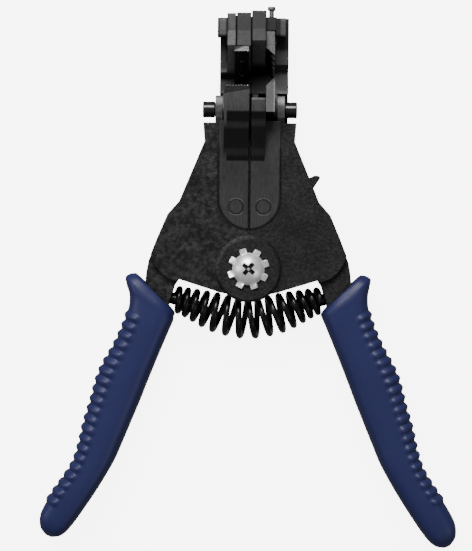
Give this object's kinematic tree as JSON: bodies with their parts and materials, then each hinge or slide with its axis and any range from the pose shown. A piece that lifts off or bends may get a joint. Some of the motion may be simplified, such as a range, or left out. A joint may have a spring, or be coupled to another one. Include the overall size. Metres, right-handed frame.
{
  "type": "automatic wire stripper",
  "caption": "Automatic wire stripper with two cast halves on a pivot, a barrel spring between its tangs, hooked gripping and cutting jaws, and dipped blue grips.",
  "frame": {"origin": "main pivot axis, at the back face of the pivot nut, which lies in the tool's resting plane", "axes": "+X to the right half, +Y from the pivot towards the jaws, +Z towards the front, away from the resting plane"},
  "size_m": [0.1347, 0.1749, 0.0262],
  "materials": {
    "cast_black": "satin",
    "dipped_blue": "gloss",
    "bright_chrome": "polished",
    "plain_steel": "satin",
    "black_steel": "satin",
    "ground_steel": "satin"
  },
  "bodies": {
    "left_half": {"left_frame": "cast_black", "left_grip": "dipped_blue", "left_lower_jaw": "cast_black", "left_jaw_pin": "black_steel", "left_jaw_spring": "plain_steel", "left_bar_rivet": "black_steel", "lower_grip_pad": "ground_steel", "grip_pad_screws_lower": "black_steel", "left_spring_seat": "black_steel", "handle_spring": "black_steel", "pivot_screw": "bright_chrome", "star_washer": "bright_chrome", "pivot_nut": "plain_steel", "pivot_sleeve": "plain_steel"},
    "right_half": {"right_frame": "cast_black", "right_grip": "dipped_blue", "right_lower_jaw": "cast_black", "right_jaw_pin": "black_steel", "right_jaw_spring": "plain_steel", "right_bar_rivet": "black_steel", "lower_blade": "ground_steel", "lower_blade_screws": "black_steel", "right_spring_seat": "black_steel"},
    "cam_plate": {"jaw_cam": "plain_steel"},
    "left_upper": {"left_upper_jaw": "cast_black", "upper_grip_pad": "ground_steel", "grip_pad_screws_upper": "black_steel"},
    "right_upper": {"right_upper_jaw": "cast_black", "upper_blade": "ground_steel", "upper_blade_screws": "black_steel", "blade_stop_screw": "black_steel"}
  },
  "joints": [
    {"name": "handle_squeeze", "type": "hinge", "parent": "left_half", "child": "right_half", "pos_m": [0, 0, 0.0085], "axis": [0, 0, -1], "range_deg": [0, 26], "stiffness_Nm_per_rad": 1.2, "springref_deg": -22.92, "deforming": ["handle_spring"]},
    {"name": "cam_turn", "type": "hinge", "parent": "left_half", "child": "cam_plate", "pos_m": [0, 0, 0.0099], "axis": [0, 0, -1], "range_deg": [0, 13]},
    {"name": "left_jaw_close", "type": "hinge", "parent": "left_half", "child": "left_upper", "pos_m": [-0.009, 0.0517, 0.0085], "axis": [1, 0, 0], "range_deg": [0, 31]},
    {"name": "right_jaw_close", "type": "hinge", "parent": "right_half", "child": "right_upper", "pos_m": [0.009, 0.0517, 0.0085], "axis": [1, 0, 0], "range_deg": [0, 31]}
  ],
  "couplings": [
    {"joint": "cam_turn", "follows": "handle_squeeze", "ratio": 0.5},
    {"joint": "left_jaw_close", "follows": "handle_squeeze", "ratio": 1.1923},
    {"joint": "right_jaw_close", "follows": "handle_squeeze", "ratio": 1.1923}
  ]
}
